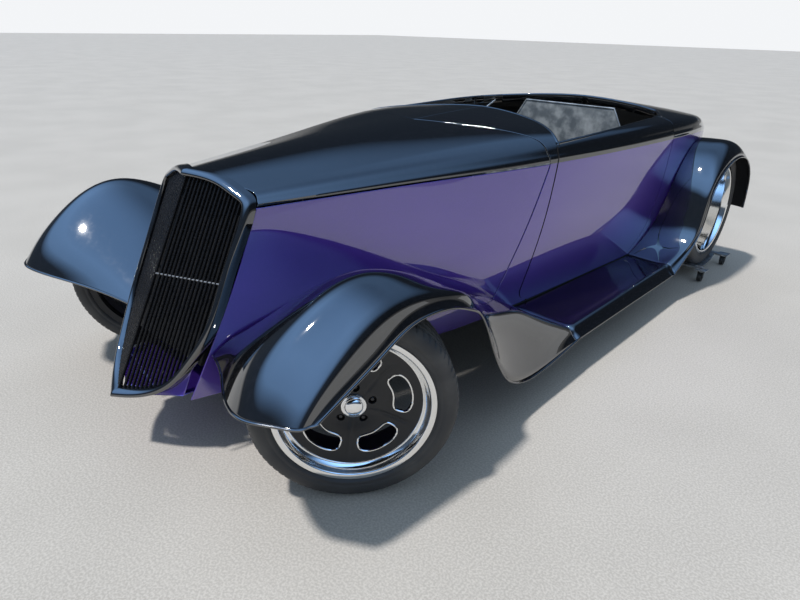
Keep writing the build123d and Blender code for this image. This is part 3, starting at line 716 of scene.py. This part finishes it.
REAR_FENDER = np.array([
    ((535, 2200, 200), (650, 2200, 203), (822, 2200, 200), (858, 2200, 160)),
    ((560, 2395, 340), (730, 2372, 340), (868, 2392, 340), (876, 2418, 340)),
    ((575, 2492, 516), (740, 2440, 559), (870, 2462, 547), (880, 2483, 535)),
    ((578, 2614, 680), (745, 2590, 739), (871, 2624, 680), (880, 2634, 662)),
    ((575, 2820, 757), (745, 2820, 784), (871, 2820, 716), (880, 2820, 696)),
    ((560, 3036, 704), (745, 3035, 713), (870, 3010, 669), (880, 3003, 657)),
    ((530, 3184, 547), (735, 3188, 552), (866, 3156, 534), (878, 3149, 530)),
    ((495, 3222, 340), (725, 3226, 340), (860, 3204, 340), (874, 3194, 340))], float)
FENDER_AT = (0, 0.30, 0.64, 0.79, 0.905, 0.953, 1)
FRONT_BULGE = np.array([(0.45, 0.47, 0.56), (0.60, 0.5, 0.28)])
REAR_BULGE = np.array([(0.32, 0.74, 0.74), (0.68, 0.26, 0.26)])
LIP_BEAD = 4.0


def fender_points(table, bulge):
    """Seven points across each section: the four of the table, one on the way up to the crown
    and one over the shoulder at the shares of the bulge, and one in the lip."""
    inner, crown, shoulder, lip = (table[:, k] for k in range(4))
    rise = inner + (crown - inner) * bulge[0]
    fall = crown + (shoulder - crown) * bulge[1]
    return np.stack([inner, rise, crown, fall, shoulder, (shoulder + lip) / 2 - (3, 0, 0), lip], 1)


def body_half(y, z):
    """Half the body's width at a height and a place along it: the station is found first, from
    its lean, and then the place on the side."""
    t = y.astype(float)
    for _ in range(6):
        weight = spline(Y, t)
        t = y - (weight @ LEAN) * (z - weight @ BELT)
    weight = spline(Y, t)
    base, belt = weight @ BASE, weight @ BELT
    s = np.clip((z - base) / (belt - base), 0, 1)
    return side_skin(t, s)[..., 0]


def fender_grid(table, rows, columns, bulge=REAR_BULGE):
    """The fender from the body's side to its lip, in millimetres."""
    points = fender_points(table, bulge)
    along = np.arange(len(table)) / (len(table) - 1)

    def skin(t, s):
        return np.einsum("...i,...j,ijk->...k", spline(along, t), spline(FENDER_AT, s), points)

    t = np.linspace(0, 1, rows)
    low, high = np.zeros(rows), np.full(rows, 0.8)
    for _ in range(30):
        middle = (low + high) / 2
        p = skin(t, middle)
        within = p[:, 0] < body_half(p[:, 1], p[:, 2]) + 1
        low, high = np.where(within, middle, low), np.where(within, high, middle)
    start = np.where(low < 1e-6, 0, high)[:, None]
    s = start + (1 - start) * np.linspace(0, 1, columns)
    return skin(t[:, None] + 0 * s, s)


for name, table, rows, bulge in (("front_fender", FRONT_FENDER, 150, FRONT_BULGE),
                                 ("rear_fender", REAR_FENDER, 120, REAR_BULGE)):
    grid = fender_grid(table, rows, 64, bulge)
    lip = grid[:, -1] + (-2.0, 0, 1.0)
    free_end = [grid[0, :-1], lip] if name == "front_fender" else [lip, grid[-1, -2::-1]]
    bead = capped(tube(np.concatenate(free_end), LIP_BEAD))
    for side, turned in SIDES:
        skin = sheet(turned(place(grid))[:, ::-1])
        piece = build(name + "_skin_" + side, [skin], black_skin)
        thicken(piece, FENDER_SHEET, edge=0, inner=1)
        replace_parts(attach(piece, "car"), name + "_" + side)
        rolled = sheet(turned(place(bead)), around=True)
        piece = build(name + "_bead_" + side, [rolled], [gloss_black], weld=True)
        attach(piece, "car")

# Running boards: between the fenders, flat with a rounded outer edge that turns down.
board = fender_grid(np.stack([FRONT_FENDER[-1], REAR_FENDER[0]]), 30, 64)
for side, turned in SIDES:
    skin = sheet(turned(place(board))[:, ::-1])
    piece = build("board_skin_" + side, [skin], black_skin)
    thicken(piece, FENDER_SHEET, edge=0, inner=1)
    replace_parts(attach(piece, "car"), "running_board_" + side)

# Wheels: a polished stepped lip, turned in one with its barrel, and a satin centre with five
# kidney windows, each edged in polished metal, five sunk lug nuts and a chrome cap.
TRACK_F, TRACK_R, AXLE_Z, KINGPIN_X, STEER = 1364, 1350, 314, 642, 40
WIDE_F, WIDE_R, FLANGE_F, FLANGE_R, TYRE_F, TYRE_R = 95, 135, 244, 266, 314, 340
WINDOWS, FIRST, WINDOW_R, WINDOW_HIGH, WINDOW_HALF, PINCH = 5, 12, 143, 33, 25.5, 10
LUG_R, LUG_HOLE = 57, 12.5
HUB_R, CENTRE_SPLIT, CENTRE_R = 35, 84, 205
TYRE_SIDES, TREAD_SLOTS = 640, 80


def on_axle(points, side, front):
    """A wheel's own millimetres, outboard, aft and up from its middle, become places on the
    car: mirrored for the right side, and turned about the kingpin at the front."""
    p = points + ((TRACK_F / 2, 0, AXLE_Z) if front else (TRACK_R / 2, REAR_Y, REAR_Z))
    p = p if side == "left" else mirrored(p)
    if not front:
        return place(p)
    pivot = KINGPIN_X * (1 if side == "left" else -1)
    c, s = np.cos(np.radians(-STEER)), np.sin(np.radians(-STEER))
    x, y = p[..., 0] - pivot, p[..., 1]
    return place(np.stack([pivot + c * x - s * y, AXLE_Y + s * x + c * y, p[..., 2]], -1))


def lathe(profile, sides=144):
    """A profile of (radius, outboard) turned about the axle: rows follow the profile and
    columns the angle, from straight aft upwards."""
    r, u = np.array(profile, float).T
    a = np.linspace(0, 2 * np.pi, sides, endpoint=False)
    return np.stack([u[:, None] + 0 * a, r[:, None] * np.cos(a), r[:, None] * np.sin(a)], -1)


def polished_metal(w):
    brushed = w.noise(30, 5.0)
    colour = brushed.mix((0.80, 0.80, 0.79, 1), (0.92, 0.92, 0.91, 1))
    return w.principled(colour, brushed * 0.10 + 0.05, Metallic=1.0,
                        Normal=w.bump(w.noise(500, 2.0), 0.015, 0.0004))


def satin_finish(w):
    grain = w.noise(700, 2.0)
    cloud = w.noise(12, 4.0)
    colour = cloud.mix((0.010, 0.010, 0.011, 1), (0.018, 0.018, 0.020, 1))
    return w.principled(colour, cloud * 0.12 + 0.38, Normal=w.bump(grain, 0.05, 0.0005))


def chrome_finish(w):
    haze = w.noise(25, 4.0).between(0.4, 0.8)
    colour = haze.mix((0.90, 0.90, 0.90, 1), (0.84, 0.85, 0.86, 1))
    return w.principled(colour, haze * 0.06 + 0.03, Metallic=1.0)


def rubber(w):
    dust = w.noise(9, 6.0).between(0.35, 0.8)
    fine = w.noise(600, 2.0)
    colour = dust.mix((0.038, 0.038, 0.040, 1), (0.085, 0.082, 0.078, 1))
    return w.principled(colour, dust * 0.15 + 0.60, Normal=w.bump(fine, 0.12, 0.0006))


def nut_finish(w):
    grime = w.noise(120, 4.0)
    colour = grime.mix((0.03, 0.03, 0.032, 1), (0.09, 0.09, 0.095, 1))
    return w.principled(colour, grime * 0.2 + 0.32, Metallic=0.8)


polished = material("polished_aluminium", polished_metal)
satin_black = material("satin_black_enamel", satin_finish)
nut_steel = material("blackened_steel", nut_finish)
chrome = material("chrome_plate", chrome_finish)
tyre_rubber = material("tyre_rubber", rubber)


def lip_profile(w, f, deep, dish, barrel):
    """The rim as one closed outline: from the centre's edge out over the step, the dish, the
    flat band and the flange, then inboard along the barrel and back under the centre."""
    c = CENTRE_R
    return [(c - 2, deep - 8), (c - 1, deep - 1), (c + 1, deep + 1.6), (c + 3, deep + 2.2),
            (c + 5, deep + 1), (c + 6.5, deep - 0.5), *dish, (f - 25, w - 29), (f - 21.5, w - 19),
            (f - 19, w - 12), (f - 18, w - 9.4), (f - 16.5, w - 7.6), (f - 14, w - 6.8),
            (f - 4, w - 5.6), (f - 1.5, w - 6), (f, w - 7.6), (f + 0.3, w - 9.6),
            (f - 3, w - 10.4), (f - 16, w - 10.2), (f - 16.2, w - 34), *barrel,
            (f - 42, 48 - w), (f - 25, 34 - w), (f - 16.2, 33 - w), (f - 16.2, 10.4 - w),
            (f - 1, 9.6 - w), (f, 6 - w), (f - 2, 4 - w), (f - 24, 9 - w), (f - 28, 34 - w),
            (f - 46, 48 - w), (f - 46, deep - 14), (c - 2, deep - 12)]


def centre_height(r, from_window, deep):
    """How far out the centre's face stands: dished round the lugs and rising to the lip, with
    a crease down the middle of each of the five spokes."""
    out = (deep - 3, deep - 7, deep - 13, deep - 8, deep - 1.5, deep)
    face = spline((30, 60, 96, 150, 190, 210), r) @ out
    gap = r * np.abs(np.radians(180 / WINDOWS - np.abs(from_window)))
    fade = np.clip((r - HUB_R) / 30, 0, 1) * np.clip((CENTRE_R - r) / 40, 0, 1)
    return face - 2.4 * fade * np.exp(-(gap / 5.5) ** 2)


def holed(low, high, middle, hole, square, rows, pinch=0.0):
    """Angle and radius of a grid round a hole: its outer edge is the block between two radii
    and half way to the next window, its inner edge a rounded box about the middle, pinched
    on the hub's side like a kidney."""
    half = 180 / WINDOWS
    w, h = np.linspace(-1, 1, 25)[:-1], np.linspace(-1, 1, 17)[:-1]
    block = np.concatenate([np.stack([w, w * 0 - 1], 1), np.stack([h * 0 + 1, h], 1),
                            np.stack([-w, w * 0 + 1], 1), np.stack([h * 0 - 1, -h], 1)])
    outer = block * (half, (high - low) / 2) + (0, (high + low) / 2)
    aim = (outer - (0, middle)) / hole
    aim /= (np.abs(aim) ** square).sum(1, keepdims=True) ** (1 / square)
    inner = (0, middle) + aim * hole
    inner[:, 1] += pinch * np.clip(-aim[:, 1], 0, 1) * (1 - aim[:, 0] ** 2)
    share = np.linspace(0, 1, rows)[:, None, None] ** 1.3
    return inner + (outer - inner) * share


def centre(deep):
    """The satin face of one wheel: round each window and each lug a holed block, five times."""
    sheets, outlines = [], []
    window, lug = (WINDOW_HALF, WINDOW_HIGH), (np.degrees(LUG_HOLE / LUG_R), LUG_HOLE)
    for k in range(WINDOWS):
        for block in (holed(CENTRE_SPLIT, CENTRE_R, WINDOW_R, window, 2.9, 16, PINCH),
                      holed(HUB_R, CENTRE_SPLIT, LUG_R, lug, 2.0, 12)):
            angle, r = block[..., 0], block[..., 1]
            turn = np.radians(FIRST + 360 / WINDOWS * k + angle)
            u = centre_height(r, angle, deep)
            grid = np.stack([u, r * np.cos(turn), r * np.sin(turn)], -1)
            sheets.append(grid[:, ::-1])
            outlines.append(grid[0])
    return sheets, outlines[::2]


def wheel(end, side, w, f, deep, body, rim_node):
    """All of one wheel's metal. The lip is polished out to the flange, and satin behind it."""
    front = end == "front"

    def put(grids, along=False, paint=0):
        placed = [on_axle(grid, side, front) for grid in grids]
        return [sheet(grid, around=True, along=along, paint=paint) for grid in placed]

    if front:
        dish, barrel = [(f - 29, deep + 3)], [(f - 34, w - 52)]
    else:
        dish = [(f - 40, deep + 6), (f - 33, deep + 32), (f - 28, w - 45)]
        barrel = [(f - 17, 60), (f - 25, 20)]
    profile = lip_profile(w, f, deep, dish, barrel)
    behind_flange = profile.index((f - 16, w - 10.2))
    paint = (np.arange(len(profile)) >= behind_flange).astype(int)[:, None]
    if side == "right":
        paint = np.roll(paint[::-1], -1, 0)
    lip = put([lathe(profile, 180)], along=True, paint=paint)
    lip = build(f"{end}_lip_{side}", lip, [polished, satin_black])
    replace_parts(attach(lip, body), rim_node)
    blocks, windows = centre(deep)
    face = build(f"{end}_centre_{side}", put(blocks), [satin_black], weld=True)
    thicken(face, 11, edge=0.9)
    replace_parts(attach(face, body), rim_node)
    trims = put([tube(path + (0.6, 0, 0), 2.9, 8, closed=True) for path in windows], along=True)
    trim = build(f"{end}_window_trim_{side}", trims, [polished])
    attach(trim, body)
    hub = [(0, deep - 22), (72, deep - 22), (76, deep - 26), (76, deep - 44), (52, deep - 48),
           (52, deep - 70), (0, deep - 70)]
    hub = build(f"{end}_hub_{side}", put([lathe(hub, 48)]), [satin_black], weld=True)
    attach(hub, body)
    nut = lathe([(0, -8), (5, -8), (8.2, -11), (8.6, -13), (8.6, -24), (0, -24)], 12)
    angles = np.radians(FIRST + 360 / WINDOWS * np.arange(WINDOWS))
    nuts = [nut + (deep - 3, LUG_R * np.cos(b), LUG_R * np.sin(b)) for b in angles]
    nuts = build(f"{end}_lug_nuts_{side}", put(nuts), [nut_steel], weld=True)
    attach(nuts, body)
    cap = np.array([(0, 17.5), (8, 17.3), (16, 16.2), (22, 14), (26, 10.5), (28.4, 6.5), (29, 3.5),
                    (30, 2.4), (32, 3.2), (34.5, 4.2), (37, 3.2), (38.4, 0.5), (38.6, -3),
                    (38, -12), (0, -12)])
    cap = build(f"{end}_cap_{side}", put([lathe(cap + (0, deep), 72)]), [chrome], weld=True)
    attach(cap, body)


def tyre(w, radius, f):
    """Carcass and tread as one closed ring: beads in the rim, a rib by the flange, a rounded
    shoulder, four grooves round the tread and slanted slots across its shoulders."""
    half = [(f - 15.8, w - 34), (f - 15.8, w - 10.6), (f - 4, w - 10.2), (f + 2.5, w - 9),
            (f + 6, w - 5), (f + 10, w - 2.4), (f + 14, w - 1.6), (f + 17, w - 2.4),
            (f + 20, w - 2.2), (f + 23, w - 0.5), (f + 31, w), (radius - 26, w - 1.5),
            (radius - 18, w - 4.5), (radius - 12, w - 8.5), (radius - 7, w - 14),
            (radius - 4, w - 19)]
    tread_u = np.linspace(w - 24, 24 - w, 66)
    tread = [(radius - 2.2 * (abs(u) / (w - 24)) ** 2.5, u) for u in tread_u]
    profile = np.array(half + tread + [(r, -u) for r, u in half[::-1]])
    grid = lathe(profile, TYRE_SIDES)
    u, a = profile[:, 1][:, None], np.linspace(0, 2 * np.pi, TYRE_SIDES, endpoint=False)[None]
    scale = w / WIDE_F
    outer = np.clip((profile[:, 0][:, None] - (radius - 13)) / 4, 0, 1)

    def slot(phase, width, soft):
        return np.clip((width / 2 - np.abs((phase % 1) - 0.5)) / soft, 0, 1)

    grooves = [np.clip((4.6 - np.abs(u - c * scale)) / 1.2, 0, 1) for c in (-50, -18, 18, 50)]
    deep = sum(6.5 * groove for groove in grooves) + 0 * a
    phase = a * TREAD_SLOTS / (2 * np.pi)
    shoulder = slot(phase + np.abs(u) * 0.016, 0.26, 0.10) * (np.abs(u) > 56 * scale)
    middle = slot(phase - u * 0.010, 0.16, 0.10) * (np.abs(u) < 46 * scale)
    deep = np.maximum(deep, np.maximum(4.5 * shoulder, 3.0 * middle)) * outer
    r = profile[:, 0][:, None] - deep
    return np.stack([grid[..., 0], r * np.cos(a), r * np.sin(a)], -1)


for side in ("left", "right"):
    for end, w, f, radius, deep in (("front", WIDE_F, FLANGE_F, TYRE_F, 58),
                                    ("rear", WIDE_R, FLANGE_R, TYRE_R, 8)):
        body = f"wheel_{end[0]}{side[0]}"
        wheel(end, side, w, f, deep, body, f"{end}_rim_{side}")
        ring = sheet(on_axle(tyre(w, radius, f), side, end == "front"), around=True, along=True)
        piece = build(f"{end}_tyre_skin_{side}", [ring], [tyre_rubber], sharp=30)
        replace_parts(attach(piece, body), f"{end}_tyre_{side}")


# What carries the body: satin chassis rails and axles, a cast engine block, a finned radiator,
# the bare mottled bulkhead behind the cockpit, and galvanised dollies under the rear tyres.
def chassis_finish(w):
    cloud = w.noise(18, 6.0)
    grit = w.noise(260, 3.0)
    colour = cloud.mix((0.012, 0.012, 0.013, 1), (0.040, 0.038, 0.036, 1))
    return w.principled(colour, cloud * 0.25 + 0.38, Normal=w.bump(grit, 0.10, 0.0008))


def cast_finish(w):
    pits = w.noise(190, 6.0)
    cloud = w.noise(9, 4.0).between(0.3, 0.75)
    colour = cloud.mix((0.045, 0.044, 0.043, 1), (0.095, 0.090, 0.084, 1))
    return w.principled(colour, cloud * 0.2 + 0.5, Metallic=0.5, Normal=w.bump(pits, 0.45, 0.0015))


def radiator_finish(w):
    rows = w.noise(1.0, 0.0, (1.0, 1.0, 420.0))
    core = w.noise(1.0, 0.0, (260.0, 1.0, 1.0))
    shade = rows * 0.6 + core * 0.4
    colour = shade.mix((0.010, 0.010, 0.011, 1), (0.050, 0.050, 0.052, 1))
    return w.principled(colour, 0.45, Metallic=0.4, Normal=w.bump(shade, 0.6, 0.002))


def bare_steel_finish(w):
    mottle = w.noise(16, 8.0).between(0.35, 0.68)
    streak = w.noise(7, 5.0, (1.0, 1.0, 0.35)).between(0.4, 0.7)
    mask = mottle * 0.7 + streak * 0.3
    colour = mask.mix((0.16, 0.185, 0.205, 1), (0.60, 0.64, 0.67, 1))
    return w.principled(colour, mask * -0.15 + 0.5, Metallic=0.35,
                        Normal=w.bump(w.noise(240, 3.0), 0.08, 0.0006))


def galvanised_finish(w):
    spangle = w.cells(90.0)
    colour = spangle.mix((0.38, 0.39, 0.40, 1), (0.58, 0.59, 0.60, 1))
    return w.principled(colour, spangle * 0.15 + 0.28, Metallic=0.9)


def caster_finish(w):
    scuff = w.noise(70, 5.0).between(0.4, 0.7)
    colour = scuff.mix((0.020, 0.020, 0.021, 1), (0.075, 0.073, 0.070, 1))
    return w.principled(colour, 0.6, Normal=w.bump(scuff, 0.2, 0.0008))


def dress(finish, *nodes):
    """Gives carried-over solids their finish."""
    for name in nodes:
        for held in frame["nodes"][name].material_slots:
            held.material = finish


dress(material("chassis_satin", chassis_finish), "frame", "front_suspension", "rear_axle",
      "upright_left", "upright_right")
dress(material("cast_iron", cast_finish), "engine_block")
dress(material("radiator_core", radiator_finish), "radiator")
bare_steel = material("bare_steel", bare_steel_finish)
dress(bare_steel, "bulkhead")
dress(material("galvanised_steel", galvanised_finish), "dolly_left", "dolly_right")
dress(material("caster_rubber", caster_finish), "dolly_castors_left", "dolly_castors_right")
dress(inside_black, "floor", "firewall")

# Cockpit fittings: the bulkhead's edge is folded to a narrow light rim, and a tubular brace
# runs each side from the rear corner of the rim forward and down to the tub's side.
EDGE_R, BRACE_R = 4.5, 6.5
BULKHEAD_Y, BULKHEAD_FOOT, BULKHEAD_LEAN = 2365, 215, 0.082
BULKHEAD_RIM = ((-420, 700), (-284, 935), (284, 935), (420, 700))
BRACE_TOP, BRACE_FOOT = np.array((522, 2434, 908.0)), np.array((600, 2296, 792.0))
t = np.linspace(0, 3, 91)
edge_x, edge_z = (np.interp(t, range(4), row) for row in zip(*BULKHEAD_RIM))
edge_y = BULKHEAD_Y + BULKHEAD_LEAN * (edge_z - BULKHEAD_FOOT) - 1
fold = tube(place(np.stack([edge_x, edge_y, edge_z - 3], -1)), EDGE_R / 1000)
piece = build("bulkhead_edge", [sheet(capped(fold), around=True)], [bare_steel], weld=True)
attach(piece, "car")
t = np.linspace(0, 1, 20)[:, None]
brace = capped(tube(place(BRACE_TOP * (1 - t) + BRACE_FOOT * t), BRACE_R / 1000))
for side, turned in SIDES:
    rod = sheet(turned(brace), around=True)
    piece = build("cockpit_brace_" + side, [rod], [bare_steel], weld=True)
    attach(piece, "car")
